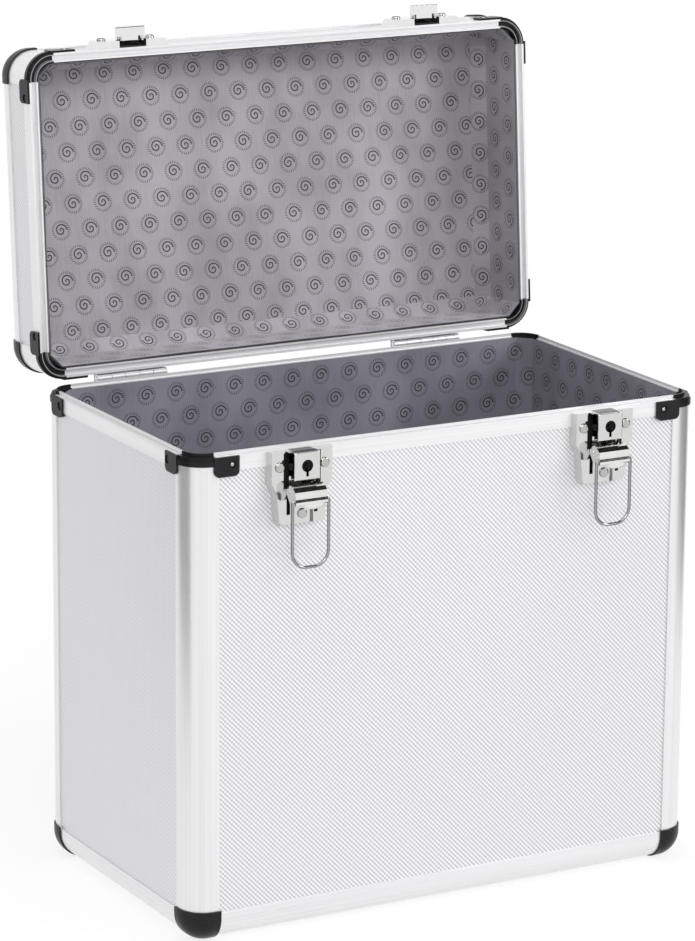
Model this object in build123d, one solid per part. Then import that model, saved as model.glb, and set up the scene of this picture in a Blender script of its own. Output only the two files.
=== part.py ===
from build123d import *
from math import radians, sqrt, tan
import os

# Record carrying case: aluminium-edged body and hinged lid, two key latches, folding handle.
#
# Millimetres, +Z up, front face towards -Y. The origin is the middle of the body's footprint,
# on the plane that the four bottom ball corners stand on. The lid is stored open on its stops.

# ---- overall sizes -------------------------------------------------------------------------
case_width = 350.0          # across the aluminium profiles, left to right
case_depth = 200.0          # across the aluminium profiles, front to back
body_height = 298.0         # underside of the bottom profiles to the body's rim ledge
lid_height = 50.0           # rim plane of the lid to the outside of its top profiles
open_angle = 94.2           # where the hinge stops hold the lid

# ---- walls ---------------------------------------------------------------------------------
panel_thickness = 4.0       # laminated board
profile_flange = 1.0        # aluminium lying over the edge of each panel
lining_thickness = 1.2      # fabric on thin foam
edge_radius = 16.0          # rounding of every outside edge
profile_land = 3.0          # flat strip of a profile beside the rounding, over the panel
slot_depth = 6.2            # how far a panel's slot runs back from the edge of that strip
panel_play = 0.2            # between a panel's edge and the bottom of its slot
profile_wall = 1.2          # metal thickness of the hollow part of a profile

# ---- rims ----------------------------------------------------------------------------------
rim_face = 9.0              # height of the rim's outer face
rim_web = 1.2               # metal between the rim's step and the panel's edge
rim_inner_flange = 0.8      # metal inside the panel
ledge_width = 3.2           # outside of the rim to the body's tongue
ledge_groove = 0.6          # width and depth of the groove along the foot of the tongue
tongue_width = 1.0
tongue_height = 2.0         # tongue above the ledge
tongue_clearance = 0.5      # between the tongue and the sides of the lid's slot
lid_lip = 1.4               # outside of the lid's rim to its slot
parting_gap = 0.3           # between the body's ledge and the closed lid

# ---- plastic corners -----------------------------------------------------------------------
corner_proud = 1.0          # how far the mouldings stand out from the profiles
rim_corner_stub = 1.0       # straight end of a rim corner beside its bend
rim_corner_band = 5.3       # height of a rim corner's band round the bend
ear_overlap = 0.8           # how far an ear starts back over the bend
front_ear_length = 16.3
side_ear_length = 14.6
ear_proud = 1.4
ear_height = 12.0
ear_rivet_below = 4.8       # middle of an ear's round recess, below the rim plane
ear_hole_from_start = 11.5  # the same, from the end at the bend
ear_hole_depth = 0.7
ear_hole_radius = 2.6
ball_corner_cover = 0.9     # how far a ball corner laps over the ends of the profiles

# ---- hinges --------------------------------------------------------------------------------
hinge_behind = 3.0          # pin axis behind the rear face
hinge_above = 2.0           # pin axis above the body's ledge
hinge_width = 48.0
hinge_centres = (-113.0, 98.0)
hinge_leaf = 1.2            # thickness of the steel
hinge_leaf_height = 16.0
hinge_barrel_radius = 2.4
hinge_pin_radius = 1.2
hinge_knuckles = 5
hinge_stop_width = 7.0
body_tab_below = 4.1        # top of the body leaf's stop tabs, below the pin
lid_tab_beyond = 3.4        # lid leaf's stop tabs beyond the pin; the tabs meet at the open angle

# ---- latches -------------------------------------------------------------------------------
latch_offset = 104.0        # centre of a latch from the middle of the case
plate_raise = 4.4           # face of the pressed base plate above the rim
plate_wall = 1.0
latch_slope = 18.0          # degrees, slope of the plate's pressed edge
plate_top = -0.4            # heights on a latch are measured from the body's ledge
housing_width = 17.0
housing_raise = 11.0        # front of the lock housing above the rim
housing_top = -0.4
housing_bottom = -17.1
housing_wall = 1.2
keyhole_height = -8.7
keyhole_radius = 3.7
lever_pin_out = 8.0
lever_pin_height = -24.0
lever_pin_radius = 1.25
lever_half_width = 10.6
lever_sheet = 1.2
bail_pivot_out = 15.0
bail_pivot_height = -28.0
bail_beside_cheek = 1.4     # outside of the lever to the wire's centre line
bail_half_width = lever_half_width + bail_beside_cheek
bail_wire_radius = 0.95
bail_length = 40.65         # pivot to the centre line of the far bend
bail_bend_radius = 9.5
running_clearance = 0.06    # pins and wires in their holes

# ---- keepers -------------------------------------------------------------------------------
keeper_slope = 28.0         # degrees, slope of the plate's pressed edge
keeper_bottom = 0.5         # heights on a keeper are measured from the lid's rim plane
keeper_top = 18.6
hook_side_play = 0.85       # between the hook and the wire, each side
hook_half_width = bail_half_width - bail_wire_radius - hook_side_play
keeper_flange = 11.8        # hook to the plate's side
keeper_half_width = hook_half_width + keeper_flange
hook_bottom = 4.0
hook_top = 10.5
hook_raise = 12.6
hook_wall = 1.1
mouth_half_width = hook_half_width - hook_wall      # opening under the hook, towards the body
mouth_height = 6.5          # distance out from the lid's front

# ---- handle --------------------------------------------------------------------------------
handle_span = 116.0         # between the two pins' centres
handle_reach = 39.0         # pins to the middle of the grip
grip_width = 14.0
grip_thickness = 13.0
arm_width = 12.0
pivot_height = 8.6          # pins above the lid's top panel
handle_pin_radius = 2.0
bracket_sheet = 1.4

# ---- places that follow from the sizes above ------------------------------------------------
half_width = case_width / 2
half_depth = case_depth / 2
foot = corner_proud                                   # the ball corners lift the profiles by this
ledge = foot + body_height                            # height of the body's rim ledge
closed_rim = ledge + parting_gap                      # height of the closed lid's rim plane
closed_top = closed_rim + lid_height
inner_face = profile_flange + panel_thickness         # depth of a panel's inner face
profile_leg = edge_radius + profile_land              # width of an edge profile on each face
slot_wall = profile_leg - slot_depth                  # bottom of the slot, from the outside
panel_edge = slot_wall + panel_play                   # a panel's edge, from the outside
profile_end = profile_leg + 0.1                       # the profiles stop short of each other
ball_corner_reach = profile_end + ball_corner_cover   # length of a ball corner along each edge
rim_corner_reach = edge_radius + rim_corner_stub      # length of a rim corner along each side
ear_start = edge_radius - ear_overlap
rim_inside = inner_face + rim_inner_flange            # depth of the rim's inner face
lid_slot = tongue_height - parting_gap + 0.7          # depth of the slot in the lid's rim
hinge_y = half_depth + hinge_behind
hinge_z = ledge + hinge_above
hinge_axis = Axis((0, hinge_y, hinge_z), (1, 0, 0))
lid_panel_face = closed_top - profile_flange          # outer face of the closed lid's top panel

nodes = {}                  # node name -> the list of its solids


def box(low, high):
    """Block between two corner points."""
    size = [b - a for a, b in zip(low, high)]
    middle = [(a + b) / 2 for a, b in zip(low, high)]
    return Pos(*middle) * Box(*size)


def prism(plane, shape, length):
    """Solid of a shape drawn on a plane, pushed along the plane's normal."""
    return extrude(plane * shape, length, dir=plane.z_dir)


def four_corners(piece):
    """The piece made for the back right corner, and its three mirror images."""
    left = mirror(piece, Plane.YZ)
    return [piece, left, mirror(piece, Plane.XZ), mirror(left, Plane.XZ)]


# ---- extruded sections ----------------------------------------------------------------------
def edge_section():
    """Hollow quarter-round edge profile, its outer corner at the origin."""
    near = edge_radius * (1 - 1 / sqrt(2))
    slot_back = inner_face
    outline = Polyline(
        (edge_radius, 0), (profile_leg, 0), (profile_leg, profile_flange),
        (slot_wall, profile_flange), (slot_wall, slot_back), (slot_back, slot_wall),
        (profile_flange, slot_wall), (profile_flange, profile_leg), (0, profile_leg), (0, edge_radius),
    ) + ThreePointArc((0, edge_radius), (near, near), (edge_radius, 0))
    inner_radius = edge_radius - profile_wall
    limit = slot_wall - profile_wall
    start = edge_radius - sqrt(inner_radius ** 2 - (edge_radius - limit) ** 2)
    deep = edge_radius - inner_radius / sqrt(2)
    back = slot_wall + slot_back - profile_wall * sqrt(2) - limit
    hollow = Polyline((limit, start), (limit, back), (back, limit), (start, limit))
    hollow += ThreePointArc((start, limit), (deep, deep), (limit, start))
    return make_face(outline) - make_face(hollow)


def tongue_points():
    """Middle of the body's rim section: a thin tongue with a groove along its foot."""
    edge = ledge_width - ledge_groove
    back = ledge_width + tongue_width
    return [
        (edge, 0), (edge, -ledge_groove), (ledge_width, -ledge_groove),
        (ledge_width, tongue_height), (back, tongue_height), (back, 0),
    ]


def slot_points():
    """Middle of the lid's rim section: a slot that takes the tongue, between two lips."""
    back = ledge_width + tongue_width + tongue_clearance
    return [(lid_lip, 0), (lid_lip, -lid_slot), (back, -lid_slot), (back, 0)]


def inner_points(panel_top, flange):
    """Inside of a rim section: its inner flange and the space for the panel's edge."""
    return [
        (rim_inside, 0), (rim_inside, -flange), (inner_face, -flange),
        (inner_face, panel_top), (profile_flange, panel_top), (profile_flange, -flange),
    ]


def rim_outline(middle, panel_top):
    """Rim section as points (depth from the outside, height above the rim plane)."""
    return [(0, -rim_face), (0, 0)] + middle + inner_points(panel_top, rim_face)


def ridged_outline(middle, panel_top):
    """Rim corner section: the rim's own section, stood proud outside in two steps."""
    half = corner_proud / 2
    outside = [(-corner_proud, -rim_corner_band), (-corner_proud, -2.2), (-half, -2.2), (-half, -1.2)]
    outside += [(0, -1.2), (0, 0)]
    return outside + middle + inner_points(panel_top, rim_corner_band)


# ---- trays: the body, and the lid upside down ------------------------------------------------
def panels(height, panel_top):
    """The five boards of a tray whose outer bottom is at height 0."""
    x, y = half_width - panel_edge, half_depth - panel_edge
    out_x, out_y = half_width - profile_flange, half_depth - profile_flange
    top = height + panel_top
    return {
        "front_panel": box((-x, -out_y, panel_edge), (x, -out_y + panel_thickness, top)),
        "back_panel": box((-x, out_y - panel_thickness, panel_edge), (x, out_y, top)),
        "left_panel": box((-out_x, -y, panel_edge), (-out_x + panel_thickness, y, top)),
        "right_panel": box((out_x - panel_thickness, -y, panel_edge), (out_x, y, top)),
        "base_panel": box((-x, -y, profile_flange), (x, y, inner_face)),
    }


def corner_profiles(height):
    """The four upright edge profiles, between the ball corners and the rim corners.

    Their flat strips stop below the rim bars.
    """
    low, high = profile_end, height - rim_corner_band - 0.1
    x, y = half_width - rim_corner_reach + 0.1, half_depth - rim_corner_reach + 0.1
    below_rim = height - rim_face - 0.1
    rim_space = box((-x, -case_depth, below_rim), (x, case_depth, height))
    rim_space += box((-case_width, -y, below_rim), (case_width, y, height))
    places = {
        "front_left": ((-half_width, -half_depth), (1, 0, 0)),
        "front_right": ((half_width, -half_depth), (0, 1, 0)),
        "back_right": ((half_width, half_depth), (-1, 0, 0)),
        "back_left": ((-half_width, half_depth), (0, -1, 0)),
    }
    made = {}
    for name, ((x, y), direction) in places.items():
        plane = Plane(origin=(x, y, low), x_dir=direction, z_dir=(0, 0, 1))
        made["corner_profile_" + name] = prism(plane, edge_section(), high - low) - rim_space
    return made


def base_profiles():
    """The four horizontal edge profiles round the bottom of a tray."""
    x, y = half_width - profile_end, half_depth - profile_end
    places = {
        "front": ((-x, -half_depth, 0), (0, 1, 0), (1, 0, 0), 2 * x),
        "back": ((-x, half_depth, 0), (0, 0, 1), (1, 0, 0), 2 * x),
        "left": ((-half_width, -y, 0), (0, 0, 1), (0, 1, 0), 2 * y),
        "right": ((half_width, -y, 0), (-1, 0, 0), (0, 1, 0), 2 * y),
    }
    made = {}
    for name, (origin, direction, along, length) in places.items():
        plane = Plane(origin=origin, x_dir=direction, z_dir=along)
        made["edge_profile_" + name] = prism(plane, edge_section(), length)
    return made


def rims(height, outline):
    """The four rim bars, between the rim corners."""
    x, y = half_width - rim_corner_reach, half_depth - rim_corner_reach
    section = Polygon(*outline, align=None)
    back_plane = Plane(origin=(x, half_depth, height), x_dir=(0, -1, 0), z_dir=(-1, 0, 0))
    right_plane = Plane(origin=(half_width, -y, height), x_dir=(-1, 0, 0), z_dir=(0, 1, 0))
    back = prism(back_plane, section, 2 * x)
    right = prism(right_plane, section, 2 * y)
    return {
        "rim_front": mirror(back, Plane.XZ),
        "rim_back": back,
        "rim_left": mirror(right, Plane.YZ),
        "rim_right": right,
    }


def ear(plane, length):
    """Fixing ear of a rim corner: a plate with rounded lower corners and a round recess.

    The plane's X runs from the bend along the rim, its Y up, and its normal points outwards.
    Beyond the edge profile the ear is thicker, so that it lies on the panel.
    """
    outline = Pos(length / 2, -ear_height / 2) * Rectangle(length, ear_height)
    outline = fillet(outline.vertices().group_by(Axis.Y)[0], 3.5)
    beyond = profile_leg + 0.1 - ear_start
    pad = Pos((beyond + length) / 2, -(rim_face + ear_height) / 2 - 0.05)
    pad *= Rectangle(length - beyond, ear_height - rim_face - 0.1)
    back = Plane(plane.origin - plane.z_dir * profile_flange, x_dir=plane.x_dir, z_dir=plane.z_dir)
    floor = Plane(plane.origin + plane.z_dir * (ear_proud - ear_hole_depth), x_dir=plane.x_dir,
                  z_dir=plane.z_dir)
    hole = Pos(ear_hole_from_start, -ear_rivet_below) * Circle(ear_hole_radius)
    plate = prism(plane, outline, ear_proud) + (prism(back, pad, profile_flange) & prism(back, outline, 9.0))
    return plate - prism(floor, hole, ear_proud)


def rim_corners(height, outline, boards):
    """Four ridged corner mouldings with a fixing ear on each face."""
    section = Polygon(*[(edge_radius - depth, z) for depth, z in outline], align=None)
    start = Plane.XZ * section
    end = Rot(0, 0, 90) * start
    bend = revolve(start, Axis.Z, 90)
    front_stub = extrude(start, rim_corner_stub, dir=(0, -1, 0))
    left_stub = extrude(end, rim_corner_stub, dir=(-1, 0, 0))
    moulding = Pos(half_width - edge_radius, half_depth - edge_radius, height) * (bend + front_stub + left_stub)

    back_plane = Plane(origin=(half_width - ear_start, half_depth, height), x_dir=(-1, 0, 0), z_dir=(0, 1, 0))
    moulding += ear(back_plane, front_ear_length)
    side_plane = Plane(origin=(half_width, half_depth - ear_start, height), x_dir=(0, 1, 0), z_dir=(1, 0, 0))
    moulding += mirror(ear(side_plane, side_ear_length), Plane(side_plane.origin, z_dir=(0, 1, 0)))
    for board in boards.values():
        moulding -= board
    return four_corners(moulding)


def rounded_block(size, radius):
    """Cube with its right, back and bottom faces at 0, the three edges between them rounded."""
    block = box((-size, -size, 0), (0, 0, size))
    meeting = []
    for edge in block.edges():
        middle = edge @ 0.5
        if (middle.X > -1) + (middle.Y > -1) + (middle.Z < 1) == 2:
            meeting.append(edge)
    return fillet(meeting, radius)


def ball_corners():
    """Four rounded caps over the ends of the three edge profiles that meet at each corner."""
    outer = rounded_block(ball_corner_reach + corner_proud, edge_radius + corner_proud)
    inner = Pos(-corner_proud, -corner_proud, corner_proud) * rounded_block(ball_corner_reach + 1, edge_radius)
    cap = Pos(half_width + corner_proud, half_depth + corner_proud, -corner_proud) * (outer - inner)
    return four_corners(cap)


def lining(height):
    """Fabric lining: an open box, its corners cut to clear the edge profiles.

    Its upper edge laps over the inner flanges of the rim, up to the rim's own edge.
    """
    corner = slot_wall - inner_face + 0.4
    flange = rim_inside + 0.1
    cloth = flange + lining_thickness
    top = height - 0.4
    below_flange = height - rim_face - 0.1

    def cut_box(depth, bottom, high, cut):
        x, y = half_width - depth, half_depth - depth
        block = box((-x, -y, bottom), (x, y, high))
        sides = block.edges().filter_by(Axis.Z)
        under = block.edges().group_by(Axis.Z)[0]
        return chamfer(sides + under, cut)

    def above(level):
        return box((-case_width, -case_depth, level), (case_width, case_depth, level + 90))

    outer = cut_box(inner_face, inner_face, height + 20, corner) - above(below_flange)
    outer += cut_box(flange, inner_face, height + 20, corner + 0.7) - above(top)
    return outer - cut_box(cloth, inner_face + lining_thickness, height + 30, corner)


def tray(height, middle, panel_top):
    """Every piece of one half of the case, open upwards, with its outer bottom at height 0."""
    outline = rim_outline(middle, panel_top)
    boards = panels(height, panel_top)
    single = {**boards, **corner_profiles(height), **base_profiles(), **rims(height, outline)}
    single["lining"] = lining(height)
    pieces = {name: [piece] for name, piece in single.items()}
    pieces["rim_corners"] = rim_corners(height, ridged_outline(middle, panel_top), boards)
    pieces["ball_corners"] = ball_corners()
    return pieces


def add_body():
    """The lower half, with a tongue round its mouth."""
    for name, pieces in tray(body_height, tongue_points(), -rim_web).items():
        name = name.replace("edge_profile", "bottom_profile").replace("base_panel", "bottom_panel")
        nodes["body_" + name] = [Pos(0, 0, foot) * piece for piece in pieces]


def add_lid():
    """The upper half, upside down over the body, with a slot for the tongue."""
    for name, pieces in tray(lid_height, slot_points(), -lid_slot - rim_web).items():
        name = name.replace("edge_profile", "top_profile").replace("base_panel", "top_panel")
        nodes["lid_" + name] = [Pos(0, 0, closed_top) * mirror(piece, Plane.XY) for piece in pieces]


# ---- hinges ---------------------------------------------------------------------------------
def hinge_half(upward, knuckle_indexes):
    """One leaf: plate on the rear face, strips up to its knuckles, and its two stop tabs."""
    sign = 1 if upward else -1
    near = hinge_barrel_radius + 0.4
    reach = near + hinge_leaf_height
    pitch = hinge_width / hinge_knuckles
    edge = hinge_width / 2

    def block(x, y, z):
        low = (x[0], y[0] - hinge_behind, min(sign * z[0], sign * z[1]))
        high = (x[1], y[1] - hinge_behind, max(sign * z[0], sign * z[1]))
        return box(low, high)

    leaf = block((-edge, edge), (0, hinge_leaf), (near, reach))
    strip_near = hinge_behind - hinge_barrel_radius
    for index in knuckle_indexes:
        x0 = -edge + index * pitch + 0.12
        x1 = x0 + pitch - 0.24
        leaf += block((x0, x1), (strip_near, strip_near + hinge_leaf), (0, near + 1.5))
        leaf += Pos((x0 + x1) / 2, 0, 0) * Rot(0, 90, 0) * Cylinder(hinge_barrel_radius, x1 - x0)
    for side in (-1, 1):
        x = sorted((side * (edge - 0.12), side * (edge - hinge_stop_width)))
        if upward:
            leaf += block(x, (0, hinge_behind + lid_tab_beyond), (near + 0.2, near + 0.2 + hinge_leaf))
        else:
            leaf += block(x, (0, hinge_behind + 5.0), (body_tab_below, body_tab_below + hinge_leaf))
    bore = Rot(0, 90, 0) * Cylinder(hinge_pin_radius + running_clearance, hinge_width + 2)
    return leaf - bore


def add_hinges():
    """Two five-knuckle hinges behind the case; the tabs meet when the lid stands open."""
    body_leaf = hinge_half(False, (0, 2, 4))
    lid_leaf = hinge_half(True, (1, 3))
    pin = Rot(0, 90, 0) * Cylinder(hinge_pin_radius, hinge_width + 1.0)
    places = [Pos(x, hinge_y, hinge_z) for x in hinge_centres]
    nodes["hinge_body_leaves"] = [place * body_leaf for place in places]
    nodes["hinge_lid_leaves"] = [place * lid_leaf for place in places]
    nodes["hinge_pins"] = [place * pin for place in places]


# ---- pressed plates of the latches and keepers -----------------------------------------------
def front_plane(x, z):
    """Drawing plane on the case's front: X right, Y up, and outwards positive."""
    return Plane(origin=(x, -half_depth, z), x_dir=(1, 0, 0), z_dir=(0, -1, 0))


def facing_up(sketch):
    """The sketch's one face, turned so that its normal points along +Z."""
    face = sketch.face()
    return face if face.normal_at().Z > 0 else -face


def pressed_plate(outline, edge, side, slope):
    """Dished sheet over an outline: sloping edges down to the case, and a straight edge at a height.

    The straight edge faces up (side 1) or down (side -1), and the outline runs on past it.
    """
    depth = plate_raise + profile_flange
    flare = depth * tan(radians(slope))
    wide = offset(outline, amount=flare)
    outer = extrude(facing_up(wide), depth, taper=slope)
    inner = extrude(facing_up(offset(wide, amount=-plate_wall)), depth - plate_wall, taper=slope)
    beyond = 60 * side
    outer -= box((-60, min(edge, edge + beyond), -1), (60, max(edge, edge + beyond), depth + 1))
    stop = edge - plate_wall * side
    inner -= box((-60, min(stop, stop + beyond), -1), (60, max(stop, stop + beyond), depth + 1))
    plate = Pos(0, 0, -profile_flange) * (outer - inner)
    rim_edge = -side * (rim_face + 0.1)
    rim_space = box((-60, min(rim_edge, rim_edge + beyond), -2 * profile_flange),
                    (60, max(rim_edge, rim_edge + beyond), 0))
    return plate - rim_space


def latch_outline():
    """Wide round the lock, narrower below the lever."""
    right = [(14.8, -44.6), (16.8, -25.0), (20.0, -19.5), (20.0, 11.0)]
    left = [(-x, y) for x, y in reversed(right)]
    shape = Polygon(*right, *left, align=None)
    shape = fillet([corner for corner in shape.vertices() if -30 < corner.Y < -15], 2.0)
    return fillet(shape.vertices().group_by(Axis.Y)[0], 3.0)


def lever_ear(side):
    """Lug of the base plate that holds the lever's pin."""
    foot_out = plate_raise - 0.5
    eye = Pos(lever_pin_out, lever_pin_height) * Circle(2.6)
    arm = Pos((foot_out + lever_pin_out) / 2, lever_pin_height) * Rectangle(lever_pin_out - foot_out, 4.8)
    bore = Pos(lever_pin_out, lever_pin_height) * Circle(lever_pin_radius + 0.02)
    x = side * 8.0
    return side_prism(eye, x, 1.0) + side_prism(arm, x, 1.0) - side_prism(bore, x, 2.0)


def latch_base():
    """Base plate with its side windows, slots, two lever ears and the key post."""
    plate = pressed_plate(latch_outline(), plate_top, 1, latch_slope)
    for side in (-1, 1):
        plate -= box_at(side * 10.5, -12.2, 3.6, 21.4, 0.5, plate_raise + 1)
        plate -= box_at(side * 9.1, -33.0, 2.4, 11.4, 0.5, plate_raise + 1)
        plate += lever_ear(side)
    post = Pos(0, keyhole_height, plate_raise - 0.5) * Cylinder(
        1.2, 6.5, align=(Align.CENTER, Align.CENTER, Align.MIN))
    return plate + post


def box_at(x, y, width, height, low, high):
    """Block centred at (x, y) on the front, from one distance out to another."""
    return box((x - width / 2, y - height / 2, low), (x + width / 2, y + height / 2, high))


def side_prism(shape, x, thickness):
    """Solid from a side view drawn as (distance out, height), centred on x."""
    plane = Plane(origin=(x + thickness / 2, 0, 0), x_dir=(0, 0, 1), z_dir=(-1, 0, 0))
    return prism(plane, shape, thickness)


def lock_housing():
    """Bridge over the lock: face with keyhole, flange to the plate above, foot at the lower right.

    The lower left is open, because the cam's tongue sweeps through it.
    """
    half = housing_width / 2
    back = plate_raise
    face = box((-half, housing_bottom, housing_raise - housing_wall), (half, housing_top, housing_raise))
    face = fillet(face.edges().filter_by(Axis.Z), 1.5)
    upper = box((-half, housing_top - housing_wall, back), (half, housing_top, housing_raise - 0.6))
    lower = box((-half, housing_bottom, back), (half, housing_bottom + housing_wall, housing_raise - 0.6))
    hole = Pos(0, keyhole_height, housing_raise) * Cylinder(keyhole_radius, 6)
    notch = box_at(0, keyhole_height - 4.6, 1.7, 3.6, housing_raise - 3, housing_raise + 3)
    gate = box((-half - 1, housing_bottom - 1, 0), (2.4, housing_bottom + 3, housing_raise - housing_wall))
    housing = face + upper + lower - hole - notch - gate
    rounded = [e for e in housing.edges().filter_by(Axis.X) if (e @ 0.5).Z > housing_raise - 0.01
               and e.length > housing_width - 4]
    return fillet(rounded, 0.5)


def lock_cam():
    """Disc with a key slot and a tongue; turned down, the tongue stops the lever rising."""
    disc = Cylinder(3.3, 2.5)
    tongue = Pos(-5.45, 0, 0.05) * Box(10.9, 4.0, 2.4)
    tongue = fillet(tongue.edges().filter_by(Axis.Z).group_by(Axis.X)[0], 1.2)
    cam = disc + tongue - Cylinder(1.2 + running_clearance, 4)
    cam -= Pos(0, -2.4, 1.0) * Box(1.6, 2.6, 1.6)
    return Pos(0, keyhole_height, 8.25) * cam


def lever():
    """Folded sheet: curved nose between two cheeks, open at the back, on a cross pin."""
    nose = [(10.35, -19.6), (13.2, -21.0), (15.6, -22.9), (16.5, -24.3), (16.0, -25.6), (16.2, -27.0),
            (16.9, -28.6), (16.7, -30.2), (15.5, -31.2), (12.5, -31.6)]
    outer = Polygon(*nose, (9.5, -31.2), (6.0, -26.6), (6.2, -21.3), align=None)
    eye = Pos(lever_pin_out, lever_pin_height) * Circle(3.3)
    behind = Polygon(*nose, (2.0, -31.6), (2.0, -19.6), align=None)
    hollow = offset(behind, amount=-lever_sheet, kind=Kind.INTERSECTION)
    open_back = Pos(6.0, -25.6) * Rectangle(6.0, 16.0)
    width = 2 * lever_half_width
    between_cheeks = width - 2 * lever_sheet
    body = side_prism(outer, 0, width) + side_prism(eye, 0, width)
    body -= side_prism(hollow, 0, between_cheeks) + side_prism(open_back, 0, between_cheeks)
    bore = Pos(lever_pin_out, lever_pin_height) * Circle(lever_pin_radius + running_clearance)
    wire_hole = Pos(bail_pivot_out, bail_pivot_height) * Circle(bail_wire_radius + running_clearance)
    body -= side_prism(bore, 0, width + 1)
    for side in (-1, 1):
        body -= side_prism(wire_hole, side * (lever_half_width - 0.9), 2.6)
    return body


def lever_pin():
    """Cross pin of a lever, held in the plate's ears."""
    return Pos(0, lever_pin_height, lever_pin_out) * Rot(0, 90, 0) * Cylinder(
        lever_pin_radius, 2 * lever_half_width + 0.6)


def bail():
    """Wire loop, hanging: its ends turn inwards through the lever's cheeks."""
    end = lever_half_width - lever_sheet - 0.6
    far = bail_pivot_height - bail_length
    points = [(-end, bail_pivot_height), (-bail_half_width, bail_pivot_height), (-bail_half_width, far),
              (bail_half_width, far), (bail_half_width, bail_pivot_height), (end, bail_pivot_height)]
    flat = [(x, y, bail_pivot_out) for x, y in points]
    path = FilletPolyline(*flat, radius=(1.6, bail_bend_radius, bail_bend_radius, 1.6))
    section = Plane(origin=flat[0], z_dir=(-1, 0, 0)) * Circle(bail_wire_radius)
    return sweep(section, path=path)


def rivet(x, y, out, radius):
    """Domed rivet head sitting on a plate's face."""
    head = Cylinder(radius, 1.3, align=(Align.CENTER, Align.CENTER, Align.MIN))
    head = fillet(head.edges().group_by(Axis.Z)[-1], 0.9)
    return Pos(x, y, out) * head


def on_front(piece, x, z):
    """Put a piece drawn on the front's own plane at its place."""
    return front_plane(x, z).location * piece


def add_latches():
    """Two latches on the body's front; heights are from the ledge."""
    pins = []
    for side, x in (("left", -latch_offset), ("right", latch_offset)):
        parts = {"base": latch_base(), "lock_housing": lock_housing(), "lock_cam": lock_cam(),
                 "lever": lever(), "bail": bail()}
        for part_name, piece in parts.items():
            nodes[f"latch_{side}_{part_name}"] = [on_front(piece, x, ledge)]
        pins.append(on_front(lever_pin(), x, ledge))
    nodes["latch_lever_pins"] = pins


def keeper():
    """Plate with a hollow hook that the bail passes over; heights are from the lid's rim plane."""
    outline = Rectangle(2 * keeper_half_width, 2 * keeper_top)
    outline = fillet(outline.vertices().group_by(Axis.Y)[-1], 3.0)
    plate = pressed_plate(outline, keeper_bottom, -1, keeper_slope)
    radius = bail_bend_radius - bail_wire_radius - 0.45
    low = hook_top - radius - 1.0
    hook = Pos(0, (low + hook_top) / 2) * Rectangle(2 * hook_half_width, hook_top - low)
    hook = facing_up(fillet(hook.vertices().group_by(Axis.Y)[-1], radius))
    hump = Pos(0, 0, plate_raise - 0.5) * extrude(hook, hook_raise - plate_raise + 0.5)
    hump -= box((-60, low - 60, -10), (60, hook_bottom, 60))
    hump = fillet(hump.edges().group_by(Axis.Z)[-1], 0.9)
    hollow = extrude(facing_up(offset(hook, amount=-hook_wall)), hook_raise - hook_wall)
    hollow -= box((-60, low - 60, -10), (60, hook_bottom + hook_wall, 60))
    mouth = box((-mouth_half_width, keeper_bottom - 1, -2 * profile_flange),
                (mouth_half_width, hook_bottom + hook_wall + 0.4, mouth_height))
    lip = box((-5.5, hook_top - 2.5, hook_raise - 1.4), (5.5, hook_top + 1.4, hook_raise - 0.2))
    body = plate + hump + lip - hollow - mouth
    for side in (-1, 1):
        x = side * (mouth_half_width + hook_wall / 2)
        body += box_at(x, (keeper_bottom + hook_bottom + hook_wall) / 2, hook_wall,
                       hook_bottom + hook_wall - keeper_bottom, 0.1, plate_raise)
    return body


def add_keepers():
    """Two keepers on the lid's front, over the latches."""
    nodes["latch_keepers"] = [on_front(keeper(), x, closed_rim) for x in (-latch_offset, latch_offset)]


# ---- handle ---------------------------------------------------------------------------------
def is_grip_edge(edge):
    """True for the long edges round the grip's two flat faces, away from its cut ends."""
    middle = edge @ 0.5
    on_face = abs(abs(middle.Z) - grip_thickness / 2) < 0.01
    return on_face and middle.Y > 9.1


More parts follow.
